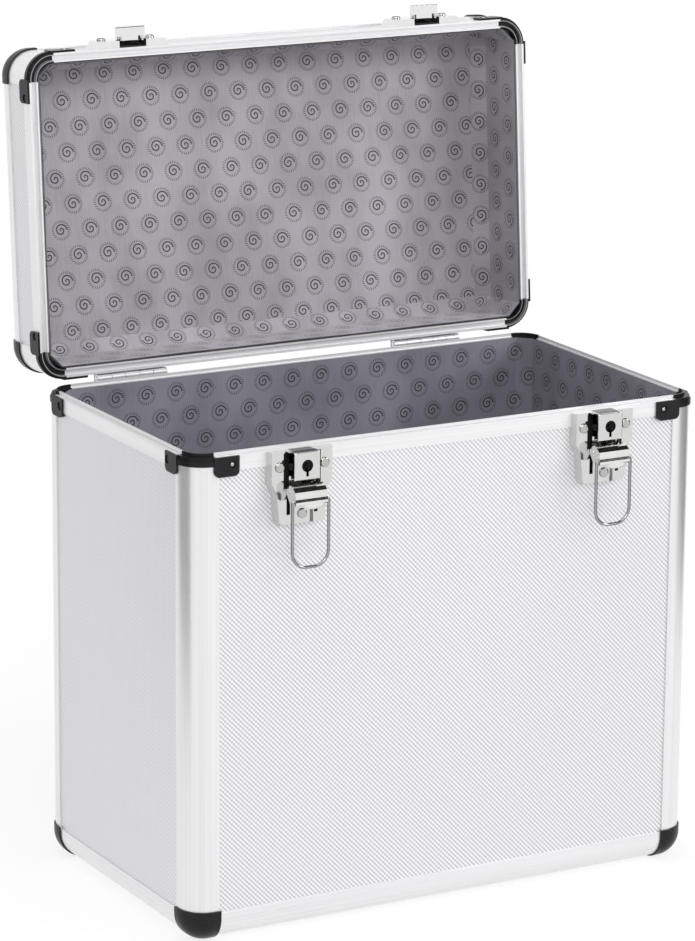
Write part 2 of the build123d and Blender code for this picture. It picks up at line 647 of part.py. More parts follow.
def add_handle():
    """Moulded grip folded towards the back, in two steel brackets on the lid's top panel."""
    pivot_z = lid_panel_face + pivot_height
    half = handle_span / 2
    outer_x = half + arm_width / 2
    far = handle_reach + grip_width / 2
    loop = Pos(0, far / 2) * Rectangle(2 * outer_x, far)
    loop = fillet(loop.vertices().group_by(Axis.Y)[-1], 14.0)
    inner_far = handle_reach - grip_width / 2
    gap = Pos(0, inner_far / 2 - 5) * Rectangle(2 * (half - arm_width / 2), inner_far + 10)
    gap = fillet(gap.vertices().group_by(Axis.Y)[-1], 7.0)
    grip = Pos(0, 0, -grip_thickness / 2) * extrude(loop - gap, grip_thickness)
    ends = box((-outer_x - 1, -1, -grip_thickness), (outer_x + 1, 9.0, grip_thickness))
    grip -= ends
    long_edges = [edge for edge in grip.edges() if is_grip_edge(edge)]
    grip = fillet(long_edges, 3.0)
    eye_radius = 5.0
    for side in (-1, 1):
        x = side * half
        grip += box((x - arm_width / 2, 0, -eye_radius), (x + arm_width / 2, 9.5, eye_radius))
        grip += Pos(x, 0, 0) * Rot(0, 90, 0) * Cylinder(eye_radius, arm_width)
    grip -= Rot(0, 90, 0) * Cylinder(handle_pin_radius + running_clearance, 2 * outer_x + 2)
    grip = grip.rotate(Axis.X, open_angle - 90.0)
    nodes["handle_grip"] = [Pos(0, 0, pivot_z) * grip]

    brackets, pins = [], []
    ear_gap = arm_width / 2 + 0.5
    for side in (-1, 1):
        x = side * half
        plate = Pos(x, 0, lid_panel_face + bracket_sheet / 2) * Box(34.0, 26.0, bracket_sheet)
        plate = fillet(plate.edges().filter_by(Axis.Z), 4.0)
        for ear_side in (-1, 1):
            ear_x = x + ear_side * (ear_gap + bracket_sheet / 2)
            ear = Pos(ear_x, 0, pivot_z) * Rot(0, 90, 0) * Cylinder(4.6, bracket_sheet)
            ear += box((ear_x - bracket_sheet / 2, -6.0, lid_panel_face + bracket_sheet / 2),
                       (ear_x + bracket_sheet / 2, 6.0, pivot_z - 2.0))
            plate += ear
        bore = Pos(x, 0, pivot_z) * Rot(0, 90, 0) * Cylinder(handle_pin_radius + 0.02, 40)
        brackets.append(plate - bore)
        pins.append(Pos(x, 0, pivot_z) * Rot(0, 90, 0) * Cylinder(handle_pin_radius, 2 * ear_gap + 2 * bracket_sheet + 1.0))
    nodes["handle_brackets"] = brackets
    nodes["handle_pins"] = pins


# ---- rivets ---------------------------------------------------------------------------------
def ear_rivets(z, upward):
    """Small rivets in the recesses of the ears on the front and back faces."""
    made = []
    middle = ear_start + ear_hole_from_start
    height = z + (ear_rivet_below if upward else -ear_rivet_below)
    for x in (-half_width + middle, half_width - middle):
        head = Rot(90, 0, 0) * rivet(0, 0, 0, 1.3)
        front = Pos(x, -half_depth - ear_proud + ear_hole_depth, height) * head
        made += [front, mirror(front, Plane.XZ)]
    return made


def hinge_rivets(height):
    """Rivets of a hinge leaf, on its rear face."""
    head = Rot(-90, 0, 0) * rivet(0, 0, 0, 2.0)
    spots = [x + dx for x in hinge_centres for dx in (-12.0, 0.0, 12.0)]
    return [Pos(x, half_depth + hinge_leaf, height) * head for x in spots]


def add_rivets():
    """Rivet heads of the body and of the lid."""
    near = hinge_barrel_radius + 0.4
    body = ear_rivets(ledge, False) + hinge_rivets(hinge_z - near - 11.0)
    lid = ear_rivets(closed_rim, True) + hinge_rivets(hinge_z + near + 9.0)
    for x in (-latch_offset, latch_offset):
        for side in (-1, 1):
            body.append(on_front(rivet(side * 14.8, -9.6, plate_raise, 3.0), x, ledge))
            lid.append(on_front(rivet(side * 16.6, 11.0, plate_raise, 2.7), x, closed_rim))
        body.append(on_front(rivet(0, -38.6, plate_raise, 3.0), x, ledge))
    for x in (-handle_span / 2, handle_span / 2):
        for dx in (-12.5, 12.5):
            for y in (-8.5, 8.5):
                lid.append(Pos(x + dx, y, lid_panel_face + bracket_sheet) * rivet(0, 0, 0, 2.0))
    nodes["body_rivets"] = body
    nodes["lid_rivets"] = lid


def open_lid():
    """Swing every piece of the lid back to its stops."""
    for name in nodes:
        if name.startswith(("lid_", "handle_")) or name in ("hinge_lid_leaves", "latch_keepers"):
            nodes[name] = [piece.rotate(hinge_axis, -open_angle) for piece in nodes[name]]


add_body()
add_lid()
add_hinges()
add_latches()
add_keepers()
add_handle()
add_rivets()
open_lid()

os.makedirs("parts", exist_ok=True)
for name, pieces in nodes.items():
    shape = pieces[0] if len(pieces) == 1 else Compound(children=pieces)
    export_step(shape, f"parts/{name}.step")
print(len(nodes), "nodes")
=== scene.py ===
# %% [markdown]
# # A record carrying case, rebuilt in Blender
#
# The case is a box of thin boards held together by aluminium edges. Its hinged lid stands open on its stops.
# The exact shapes come from the CAD model, because hinges and latches have to fit to a tenth of a
# millimetre. Here they get their camera, their light, their finishes and the two printed cloth linings,
# which a CAD solid can only stand in for.

import math

import bmesh
import bpy
from mathutils import Matrix, Vector


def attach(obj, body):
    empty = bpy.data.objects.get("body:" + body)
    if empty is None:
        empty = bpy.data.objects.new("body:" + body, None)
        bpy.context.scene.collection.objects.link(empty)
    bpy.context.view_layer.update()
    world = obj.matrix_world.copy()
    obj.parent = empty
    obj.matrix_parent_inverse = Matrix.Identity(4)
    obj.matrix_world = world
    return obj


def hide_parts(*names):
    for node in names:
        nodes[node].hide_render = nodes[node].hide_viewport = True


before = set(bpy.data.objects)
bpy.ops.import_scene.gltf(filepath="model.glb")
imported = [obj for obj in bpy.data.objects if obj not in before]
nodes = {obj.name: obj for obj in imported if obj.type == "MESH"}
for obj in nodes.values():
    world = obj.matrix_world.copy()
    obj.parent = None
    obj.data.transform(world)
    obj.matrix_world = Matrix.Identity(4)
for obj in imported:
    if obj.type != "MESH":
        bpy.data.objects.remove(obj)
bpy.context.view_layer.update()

# %% [markdown]
# ## The camera
#
# A long lens that stands far away keeps the upright edges of the case nearly parallel, where a short lens
# would make them run together. A constraint could aim the camera, but it can't roll it. So the camera is
# placed by its position and three angles: how far it has walked round the case, how much it looks down,
# and a slight roll. A camera looks along its own -Z, so its matrix is built from turns about Z and X.

# %% Place the camera
STANDS_AT = (-1.2625, -2.2485, 0.9162)
WALKED_ROUND, LOOKS_DOWN, ROLL = 29.209, 14.528, 0.501

eye = bpy.data.cameras.new("eye")
eye.lens = 165.2
eye.sensor_width = 36.0
eye.shift_x = -0.0159
eye.shift_y = 0.0028
eye.clip_end = 50.0
camera = bpy.data.objects.new("camera", eye)
bpy.context.scene.collection.objects.link(camera)
turn = Matrix.Rotation(math.radians(-WALKED_ROUND), 4, "Z")
tilt = Matrix.Rotation(math.radians(90.0 - LOOKS_DOWN), 4, "X")
level = Matrix.Rotation(math.radians(ROLL), 4, "Z")
camera.matrix_world = Matrix.Translation(STANDS_AT) @ turn @ tilt @ level
bpy.context.scene.camera = camera
print("camera", round(WALKED_ROUND, 1), "degrees round,", round(LOOKS_DOWN, 1), "down")

# %% [markdown]
# ## Node helpers
#
# A material is a graph of nodes. It could be drawn by hand in the shader editor, but written as code it can
# be read, repeated and changed by one number. These helpers keep each graph short: one adds a node and
# fills its sockets, and one adds a Math node. A number is typed into a socket, and anything else is a link.

# %% Helpers that add nodes


def new_material(name):
    """Material with the usual output, and its main shader."""
    material = bpy.data.materials.new(name)
    material.use_nodes = True
    return material, material.node_tree.nodes["Principled BSDF"]


def fill(tree, socket, value):
    """Link another node's output to a socket, or type a number or colour into it."""
    if isinstance(value, bpy.types.NodeSocket):
        tree.links.new(value, socket)
    else:
        socket.default_value = value


def add(tree, kind, inputs=None, **settings):
    """New node of a kind, with its settings made and its sockets filled."""
    node = tree.nodes.new(kind)
    for key, value in settings.items():
        setattr(node, key, value)
    for key, value in (inputs or {}).items():
        fill(tree, node.inputs[key], value)
    return node


def calc(tree, operation, first, second=0.0):
    """Output of a Math node."""
    return add(tree, "ShaderNodeMath", {0: first, 1: second}, operation=operation).outputs[0]


def smooth_step(tree, value, low, high, to_low=0.0, to_high=1.0):
    """Value that runs smoothly from one number to another as its input passes from low to high."""
    node = add(tree, "ShaderNodeMapRange", interpolation_type="SMOOTHSTEP")
    for index, item in enumerate((value, low, high, to_low, to_high)):
        fill(tree, node.inputs[index], item)
    return node.outputs[0]


def blend_colours(tree, amount, first, second):
    """Colour between two colours. The node keeps its colour sockets at 6 and 7, after those for numbers."""
    return add(tree, "ShaderNodeMix", {0: amount, 6: first, 7: second}, data_type="RGBA").outputs[2]


print("six node helpers")

# %% [markdown]
# ## Pattern helpers
#
# Every real surface is a little uneven in colour, in gloss and in height. Painted images could show that,
# but they have a fixed sharpness and a seam. Noise that is worked out from the place in metres has neither,
# and it keeps its size on a big board and on a small rivet alike.

# %% Helpers for patterns


def object_place(tree, turned=(0.0, 0.0, 0.0)):
    """The surface's place in metres, turned by three angles in degrees."""
    coordinates = add(tree, "ShaderNodeTexCoord")
    mapping = add(tree, "ShaderNodeMapping", {"Vector": coordinates.outputs["Object"]})
    mapping.inputs["Rotation"].default_value = [math.radians(angle) for angle in turned]
    return mapping.outputs[0]


def noise(tree, place, scale, detail=2.0):
    """Soft cloudy pattern between 0 and 1."""
    return add(tree, "ShaderNodeTexNoise", {"Vector": place, "Scale": scale, "Detail": detail}).outputs["Fac"]


def stretched(tree, place, scale):
    """A place scaled by three numbers, which draws a pattern out along one direction."""
    return add(tree, "ShaderNodeVectorMath", {0: place, 1: scale}, operation="MULTIPLY").outputs[0]


def relief(tree, shader, height, depth, strength):
    """Bump on a shader from a height pattern; depth is in metres."""
    bump = add(tree, "ShaderNodeBump", {"Height": height, "Distance": depth, "Strength": strength})
    tree.links.new(bump.outputs[0], shader.inputs["Normal"])


print("four pattern helpers")

# %% [markdown]
# ## Embossed panels
#
# The boards are faced with thin aluminium foil, rolled with a fine pattern of little diamonds about 3 mm
# across, and lacquered. Thousands of pressed diamonds would make a huge mesh, and they are too shallow to
# change an outline, so bump and colour carry them. The colour is painted shade in the diamonds' hollows and
# a painted highlight on their crests. Slanted ridges that cross make diamonds, so the pattern is two rows of
# waves added together, one stronger than the other as the roller leaves them. The foil is the same on every
# board, but on the two ends of the case the bump is shallower and the painted shade weaker, because the
# light there shows the pattern only faintly. Each board lies in its own plane, so the place is turned first
# until the board lies flat in X and Y.

# %% Foil for each direction of board
OPEN_ANGLE = 94.2
DIAMOND_WIDTH, DIAMOND_HEIGHT = 0.0029, 0.0030
WEAK_RIDGE, STRONG_RIDGE = 0.30, 0.70
RIDGE_DEPTH = 0.00007
# Painted shade in the diamonds' hollows and painted highlight on their crests.
FOIL_HOLLOW_SHADE, FOIL_CREST_HIGHLIGHT = (0.560, 0.557, 0.582, 1.0), (0.900, 0.896, 0.925, 1.0)
# Bump depth and strength of the painted shade, weaker on the end boards where the light shows the pattern
# faintly.
SIDE_DEPTH_AND_SHADE, FACE_DEPTH_AND_SHADE = 0.60, 1.10
FOIL_TURNS = {
    "front": (90.0, 0.0, 0.0),
    "back": (90.0, 0.0, 0.0),
    "left": (0.0, 90.0, 0.0),
    "right": (0.0, 90.0, 0.0),
    "flat": (0.0, 0.0, 0.0),
    "lid_top": (OPEN_ANGLE, 0.0, 0.0),
    "lid_front": (OPEN_ANGLE - 90.0, 0.0, 0.0),
    "lid_back": (OPEN_ANGLE - 90.0, 0.0, 0.0),
}


def embossed_foil(name, turned, depth):
    """Lacquered foil with pressed diamonds and painted shade and highlight; turned lays the board flat, and
    depth sets how deep they are and how strong that painted shade is.
    """
    material, shader = new_material(name)
    tree = material.node_tree
    place = object_place(tree, turned)
    flat = add(tree, "ShaderNodeSeparateXYZ", {0: place})
    across = calc(tree, "MULTIPLY", flat.outputs[0], 2 * math.pi / DIAMOND_WIDTH)
    along = calc(tree, "MULTIPLY", flat.outputs[1], 2 * math.pi / DIAMOND_HEIGHT)
    rising = calc(tree, "SINE", calc(tree, "ADD", across, along))
    falling = calc(tree, "SINE", calc(tree, "SUBTRACT", across, along))
    rising = calc(tree, "MULTIPLY", rising, WEAK_RIDGE)
    ridges = calc(tree, "ADD", rising, calc(tree, "MULTIPLY", falling, STRONG_RIDGE))
    clouds = noise(tree, place, 9.0, 3.0)
    # Painted shade in the hollows and painted highlight on the crests.
    shade = smooth_step(tree, ridges, -0.9, 0.9, 0.5 - 0.5 * depth, 0.5 + 0.5 * depth)
    fill(tree, shader.inputs["Base Color"], blend_colours(tree, shade, FOIL_HOLLOW_SHADE, FOIL_CREST_HIGHLIGHT))
    fill(tree, shader.inputs["Roughness"], smooth_step(tree, clouds, 0.3, 0.7, 0.40, 0.47))
    shader.inputs["Metallic"].default_value = 0.55
    relief(tree, shader, ridges, RIDGE_DEPTH * depth, 0.6)
    return material


foils = {}
for side, turns in FOIL_TURNS.items():
    depth = SIDE_DEPTH_AND_SHADE if side in ("left", "right") else FACE_DEPTH_AND_SHADE
    foils[side] = embossed_foil("embossed_foil_" + side, turns, depth)
print(len(foils), "foil materials")

# %% [markdown]
# ## Satin aluminium edges
#
# The edges are extruded aluminium, etched and anodised, so they shine softly. Extruding leaves very fine
# lines along the bar. Blender's anisotropic gloss would smear the light, but it shows no single lines. So
# noise is drawn out along the bar, and it works in the colour, in the roughness and in a faint bump. The
# flat rim bars round the mouth are whiter, so they are made less metallic.

# %% Anodised aluminium
LINES_PER_METRE, ALONG_BAR = 700.0, 4.0
SATIN_DARK, SATIN_LIGHT = (0.78, 0.78, 0.79, 1.0), (0.84, 0.84, 0.85, 1.0)


def satin_aluminium(name, along, metallic):
    """Anodised extrusion with faint die lines along one direction."""
    material, shader = new_material(name)
    tree = material.node_tree
    place = object_place(tree)
    squeeze = [ALONG_BAR if letter == along else LINES_PER_METRE for letter in "XYZ"]
    lines = noise(tree, stretched(tree, place, squeeze), 1.0)
    clouds = noise(tree, place, 14.0, 3.0)
    colour = blend_colours(tree, smooth_step(tree, lines, 0.3, 0.7), SATIN_DARK, SATIN_LIGHT)
    fill(tree, shader.inputs["Base Color"], colour)
    mixed = calc(tree, "ADD", calc(tree, "MULTIPLY", lines, 0.10), calc(tree, "MULTIPLY", clouds, 0.06))
    fill(tree, shader.inputs["Roughness"], calc(tree, "ADD", mixed, 0.22))
    shader.inputs["Metallic"].default_value = metallic
    relief(tree, shader, lines, 0.000004, 0.4)
    return material


satin = {letter: satin_aluminium("satin_aluminium_" + letter.lower(), letter, 0.70) for letter in "XYZ"}
pale_satin = {letter: satin_aluminium("pale_satin_" + letter.lower(), letter, 0.35) for letter in "XYZ"}
print(len(satin) + len(pale_satin), "aluminium materials")

# %% [markdown]
# ## Painted highlights on the ridges
#
# Three low ridges run round each corner of the lid's rim. Their crests catch the light in thin pale lines,
# and these lines are painted highlights in the colour, with no bump under them. Each crest keeps the same
# distance from the middle of the corner's bend. So a point is on a crest where its distance from the bend's
# middle is one of three radii. Distances below zero are cut off, which carries the crests on in straight
# lines past the bend.

# %% Crests of the ridges
RIDGE_RADII = (0.0148, 0.0112, 0.0092)
BEND_X, BEND_Z = 0.159, 0.08375
LID_MIDDLE_Z = 0.40375
CREST_CORE, CREST_EDGE = 0.00015, 0.00042


def painted_crest_highlights(tree, place):
    """1 on painted highlight lines along the ridge crests of the open lid's rim corners, 0 off them."""
    axes = add(tree, "ShaderNodeSeparateXYZ", {0: place})
    across = calc(tree, "SUBTRACT", calc(tree, "ABSOLUTE", axes.outputs[0]), BEND_X)
    above = calc(tree, "ABSOLUTE", calc(tree, "SUBTRACT", axes.outputs[2], LID_MIDDLE_Z))
    above = calc(tree, "SUBTRACT", above, BEND_Z)
    across, above = calc(tree, "MAXIMUM", across, 0.0), calc(tree, "MAXIMUM", above, 0.0)
    squares = [calc(tree, "MULTIPLY", side, side) for side in (across, above)]
    from_bend = calc(tree, "SQRT", calc(tree, "ADD", *squares))
    crests = 0.0
    for radius in RIDGE_RADII:
        off = calc(tree, "ABSOLUTE", calc(tree, "SUBTRACT", from_bend, radius))
        crests = calc(tree, "ADD", smooth_step(tree, off, CREST_CORE, CREST_EDGE, 1.0, 0.0), crests)
    return crests


print(len(RIDGE_RADII), "ridges round each corner")

# %% [markdown]
# ## Black moulded plastic
#
# The corners and the grip are injection moulded. The mould is spark-eroded, so the plastic comes out with a
# fine even grain that breaks up the shine. A plain black would look cut out of paper. So fine noise makes
# the grain in the bump, and coarser noise makes the colour and the gloss slightly uneven.

# %% Moulded plastic
BLACK, WORN_BLACK = (0.010, 0.010, 0.011, 1.0), (0.020, 0.020, 0.022, 1.0)
# Grey of the painted highlight lines on the ridge crests.
CREST_HIGHLIGHT_GREY = (0.42, 0.42, 0.43, 1.0)


def moulded_black(name, roughness, crest_highlights=False):
    """Black plastic with a fine grain and slightly uneven gloss, with painted highlight lines on ridge crests
    if asked.
    """
    material, shader = new_material(name)
    tree = material.node_tree
    place = object_place(tree)
    grain = noise(tree, place, 2600.0)
    worn = noise(tree, place, 60.0, 4.0)
    colour = blend_colours(tree, worn, BLACK, WORN_BLACK)
    if crest_highlights:
        # Painted highlight lines on the ridge crests.
        colour = blend_colours(tree, calc(tree, "MULTIPLY", painted_crest_highlights(tree, place), 0.8), colour,
                               CREST_HIGHLIGHT_GREY)
    fill(tree, shader.inputs["Base Color"], colour)
    uneven = smooth_step(tree, worn, 0.25, 0.75, roughness - 0.05, roughness + 0.06)
    fill(tree, shader.inputs["Roughness"], uneven)
    shader.inputs["Specular IOR Level"].default_value = 0.16
    relief(tree, shader, grain, 0.00003, 0.35)
    return material


corner_black = moulded_black("moulded_black_corners", 0.28)
# The lid's rim corners get painted highlight lines on their ridge crests.
highlighted_black = moulded_black("moulded_black_painted_highlights", 0.28, crest_highlights=True)
grip_black = moulded_black("moulded_black_grip", 0.42)
print("three moulded blacks")

# %% [markdown]
# ## Bright metal
#
# The latches, keepers and handle brackets are pressed from steel and nickel plated, which gives a mirror.
# The hinges are zinc plated and a little duller. A perfect mirror looks false, so all of them get a faint
# waviness, as pressed sheet has, and fine rubbed marks in the gloss.
#
# Round wire and rivet heads mirror the whole room in a thin strip and look darker than flat plate beside
# them. So their colour is painted darker and their edge tint is black, a painted reflection of that darker
# strip. Inside the lock housings and the base plates, behind their front face, the metal is painted near
# black as painted shade for the hollow. The cam in the lock is painted near black too, as painted shade seen
# through the keyhole.

# %% Plated steel
LATCH_OFFSET = 0.104
LOCK_HALF_WIDTH, LOCK_FLOOR = 0.0074, 0.2815
# Near black painted shade for the hollows inside the lock housings and the base plates.
PAINTED_SHADE_BLACK = (0.012, 0.012, 0.012, 1.0)
NICKEL = (0.68, 0.68, 0.67, 1.0)


def lock_shade_mask(tree, front):
    """1 where shade is painted inside the lock housings, behind a given front face, and 0 elsewhere."""
    coordinates = add(tree, "ShaderNodeTexCoord")
    axes = add(tree, "ShaderNodeSeparateXYZ", {0: coordinates.outputs["Object"]})
    sideways = calc(tree, "SUBTRACT", calc(tree, "ABSOLUTE", axes.outputs[0]), LATCH_OFFSET)
    within = calc(tree, "LESS_THAN", calc(tree, "ABSOLUTE", sideways), LOCK_HALF_WIDTH)
    behind = calc(tree, "GREATER_THAN", axes.outputs[1], front)
    above = calc(tree, "GREATER_THAN", axes.outputs[2], LOCK_FLOOR)
    return calc(tree, "MULTIPLY", within, calc(tree, "MULTIPLY", behind, above))


def plated_steel(name, colour, roughness, waviness, shade_behind=None, edge=1.0):
    """Plated steel with slight waves in its surface and fine rubbed marks in its gloss, and painted shade
    inside the locks behind a given front face, if one is given.
    """
    material, shader = new_material(name)
    tree = material.node_tree
    place = object_place(tree)
    waves = noise(tree, place, 160.0)
    rubbed = noise(tree, stretched(tree, place, (1400.0, 1400.0, 90.0)), 1.0)
    darker = [channel * 0.90 for channel in colour[:3]] + [1.0]
    plating = blend_colours(tree, waves, darker, colour)
    if shade_behind is not None:
        # Painted shade: near black inside the lock, behind its front face.
        plating = blend_colours(tree, lock_shade_mask(tree, shade_behind), plating, PAINTED_SHADE_BLACK)
    fill(tree, shader.inputs["Base Color"], plating)
    fill(tree, shader.inputs["Roughness"], smooth_step(tree, rubbed, 0.35, 0.75, roughness, roughness + 0.08))
    shader.inputs["Metallic"].default_value = 1.0
    shader.inputs["Specular Tint"].default_value = (edge, edge, edge, 1.0)
    relief(tree, shader, waves, waviness, 0.5)
    return material


bright_nickel = plated_steel("bright_nickel", (0.84, 0.84, 0.84, 1.0), 0.05, 0.00012)
lever_nickel = plated_steel("lever_nickel", (0.80, 0.80, 0.79, 1.0), 0.06, 0.00003)
# Wire colour painted darker with a black edge tint, a painted reflection of the darker strip it mirrors.
wire_nickel = plated_steel("wire_nickel", (0.36, 0.36, 0.37, 1.0), 0.05, 0.00008, edge=0.0)
housing_nickel = plated_steel("housing_nickel", NICKEL, 0.06, 0.00004, shade_behind=-0.1099)
base_nickel = plated_steel("base_nickel", NICKEL, 0.06, 0.00006, shade_behind=-0.1130)
# The cam is painted near black, as painted shade seen through the keyhole.
cam_painted_black = plated_steel("cam_painted_black", (0.02, 0.02, 0.02, 1.0), 0.45, 0.0001)
zinc_plate = plated_steel("zinc_plate", (0.78, 0.78, 0.79, 1.0), 0.30, 0.00002)
# Rivet heads painted darker with a black edge tint, a painted reflection of the darker strip they mirror.
rivet_heads = plated_steel("rivet_heads", (0.52, 0.51, 0.49, 1.0), 0.16, 0.0001, edge=0.0)
print("eight metals")

# %% [markdown]
# ## Finishes on the CAD pieces
#
# Each CAD node keeps its shape and gets its finish in its material slot. The finish could be chosen piece by
# piece, but sixty pieces share a few names' endings, so a short table finds it. The direction of the die
# lines is the bar's own direction. The lid stands open, so its upright corner bars lie along Y here.

# %% Give each CAD node its finish
FINISH_BY_ENDING = {
    "lid_rim_corners": highlighted_black, "_corners": corner_black, "_grip": grip_black, "rivets": rivet_heads,
    "cam": cam_painted_black, "_lever": lever_nickel, "_bail": wire_nickel, "lock_housing": housing_nickel,
    "_base": base_nickel, "pins": zinc_plate, "_leaves": zinc_plate,
}


def bar_direction(name):
    """The letter of the axis that an aluminium bar runs along."""
    if "corner_profile" in name:
        return "Y" if name.startswith("lid") else "Z"
    if name.endswith(("left", "right")):
        return "Z" if name.startswith("lid") else "Y"
    return "X"


def foil_for(name):
    """The foil whose pattern lies flat on a board."""
    side = name.split("_")[1]
    if side in ("left", "right"):
        return foils[side]
    if name.startswith("lid"):
        return foils["lid_" + side]
    return foils["flat" if side == "bottom" else side]


def finish_for(name):
    """The material of a CAD node, by what kind of piece it is."""
    if name.endswith("_panel"):
        return foil_for(name)
    if "profile" in name:
        return satin[bar_direction(name)]
    for ending, finish in FINISH_BY_ENDING.items():
        if name.endswith(ending):
            return finish
    return pale_satin[bar_direction(name)] if "_rim_" in name else bright_nickel


finished = [name for name in nodes if not name.endswith("lining")]
for name in finished:
    nodes[name].data.materials.clear()
    nodes[name].data.materials.append(finish_for(name))
print("finishes on", len(finished), "nodes")

# %% [markdown]
# ## The cloth's print
#
# The inside is covered with thin grey cloth. It is printed all over with a plain spiral inside a ring of
# short dashes, in rows half a step apart. An image of one motif would blur close up. So each point works
# out how far it is from the middle of its nearest motif, and at what angle. The print follows the cloth, so
# it comes from the cloth's own UV map, where one unit is one metre.
#
# A spiral is a line whose distance from its middle changes evenly with the angle. So that distance, less
# the angle's share and taken modulo the gap between two turns, tells how near a point is to the line.

# %% Spiral and ring
MOTIF_STEP, ROW_STEP = 0.02055, 0.0161
FULL_TURN = 2 * math.pi
SPIRAL_GAP, SPIRAL_REACH = 0.00250, 0.00425
LINE_CORE, LINE_EDGE = 0.00032, 0.00056
DASHES, DASH_SLANT = 24.0, 90.0
RING_RADIUS, BAND_CORE, BAND_EDGE = 0.00565, 0.00060, 0.00090


def motif_cell(tree, u, v):
    """Distance and angle of a point from the middle of its nearest motif."""
    row = calc(tree, "FLOOR", calc(tree, "DIVIDE", v, ROW_STEP))
    odd = calc(tree, "FLOORED_MODULO", row, 2.0)
    shifted = calc(tree, "ADD", u, calc(tree, "MULTIPLY", odd, MOTIF_STEP / 2))
    x = calc(tree, "SUBTRACT", calc(tree, "FLOORED_MODULO", shifted, MOTIF_STEP), MOTIF_STEP / 2)
    y = calc(tree, "SUBTRACT", calc(tree, "FLOORED_MODULO", v, ROW_STEP), ROW_STEP / 2)
    squares = [calc(tree, "MULTIPLY", side, side) for side in (x, y)]
    distance = calc(tree, "SQRT", calc(tree, "ADD", *squares))
    return distance, calc(tree, "FLOORED_MODULO", calc(tree, "ARCTAN2", y, x), FULL_TURN)


def spiral_line(tree, distance, angle):
    """1 on a spiral that winds inwards from its right-hand end, 0 off it."""
    inwards = calc(tree, "SUBTRACT", SPIRAL_REACH, calc(tree, "MULTIPLY", angle, SPIRAL_GAP / FULL_TURN))
    depth = calc(tree, "SUBTRACT", inwards, distance)
    nearest = calc(tree, "FLOORED_MODULO", calc(tree, "ADD", depth, SPIRAL_GAP / 2), SPIRAL_GAP)
    off = calc(tree, "ABSOLUTE", calc(tree, "SUBTRACT", nearest, SPIRAL_GAP / 2))
    line = smooth_step(tree, off, LINE_CORE, LINE_EDGE, 1.0, 0.0)
    return calc(tree, "MULTIPLY", line, calc(tree, "GREATER_THAN", depth, -SPIRAL_GAP / 2))


def ring_of_dashes(tree, distance, angle):
    """1 on short slanting dashes round the spiral, 0 off them."""
    turned = calc(tree, "ADD", angle, calc(tree, "MULTIPLY", distance, DASH_SLANT))
    wave = calc(tree, "COSINE", calc(tree, "MULTIPLY", turned, DASHES))
    off = calc(tree, "ABSOLUTE", calc(tree, "SUBTRACT", distance, RING_RADIUS))
    band = smooth_step(tree, off, BAND_CORE, BAND_EDGE, 1.0, 0.0)
    return calc(tree, "MULTIPLY", smooth_step(tree, wave, 0.00, 0.45), band)


print("motifs", MOTIF_STEP * 1000, "mm apart in rows", ROW_STEP * 1000, "mm apart")

# %% [markdown]
# ## Satin cloth and its foam
#
# The cloth has a satin weave, so it has a soft sheen, and it never looks quite even: some threads are
# thicker, and the dye and the glue leave clouds. Threads as geometry would be millions of faces. So two
# crossed waves stand for the weave in the bump, and three noises of different sizes mottle the colour. The
# clouds and the thick threads are the cloth's own unevenness and carry some painted sheen as well, and the
# broad bands are painted sheen, the light and dark stripes that satin shows. The body's cloth lies deep in
# the shade. It gets a darker grey as well, because the even light here reaches further down into the case
# than light in a room does. Behind the cloth is dark foam, which shows only at its cut edge.

# %% Cloth and foam
WEAVE_STEP = 0.0007
RING_INK, FULL_INK = 0.78, 0.97
LIGHT_SPOTS = 1.42


def mottling_and_sheen(tree, place, clouds):
    """Unevenness of the cloth's colour: soft clouds and thick threads, which also carry some painted sheen,
    and broad bands of painted sheen.
    """
    slubs = noise(tree, stretched(tree, place, (900.0, 60.0, 1.0)), 1.0)
    # Broad bands of painted sheen, the light and dark stripes of satin.
    bands = noise(tree, stretched(tree, place, (26.0, 5.0, 1.0)), 1.0)
    mottled = calc(tree, "ADD", calc(tree, "MULTIPLY", clouds, 0.42), calc(tree, "MULTIPLY", slubs, 0.18))
    uneven = calc(tree, "ADD", mottled, calc(tree, "MULTIPLY", bands, 0.4))
    return smooth_step(tree, uneven, 0.36, 0.64)


def lining_cloth(name, cloth, ink):
    """Satin lining cloth with its print, its weave and its faint unevenness."""
    material, shader = new_material(name)
    tree = material.node_tree
    place = add(tree, "ShaderNodeUVMap", uv_map="cloth").outputs[0]
    parts = add(tree, "ShaderNodeSeparateXYZ", {0: place})
    u, v = parts.outputs[0], parts.outputs[1]
    distance, angle = motif_cell(tree, u, v)
    faint_ring = calc(tree, "MULTIPLY", ring_of_dashes(tree, distance, angle), RING_INK)
    printed = calc(tree, "MAXIMUM", spiral_line(tree, distance, angle), faint_ring)
    threads = [calc(tree, "SINE", calc(tree, "MULTIPLY", side, FULL_TURN / WEAVE_STEP)) for side in (u, v)]
    clouds = noise(tree, place, 22.0, 4.0)
    light = [channel * LIGHT_SPOTS for channel in cloth[:3]] + [1.0]
    # The cloth's own unevenness mixed with painted sheen.
    ground = blend_colours(tree, mottling_and_sheen(tree, place, clouds), cloth, light)
    colour = blend_colours(tree, calc(tree, "MULTIPLY", printed, FULL_INK), ground, ink)
    fill(tree, shader.inputs["Base Color"], colour)
    fill(tree, shader.inputs["Roughness"], smooth_step(tree, clouds, 0.3, 0.7, 0.42, 0.52))
    shader.inputs["Specular IOR Level"].default_value = 0.35
    shader.inputs["Sheen Weight"].default_value = 0.25
    shader.inputs["Sheen Roughness"].default_value = 0.4
    relief(tree, shader, calc(tree, "MULTIPLY", *threads), 0.00006, 0.6)
    return material


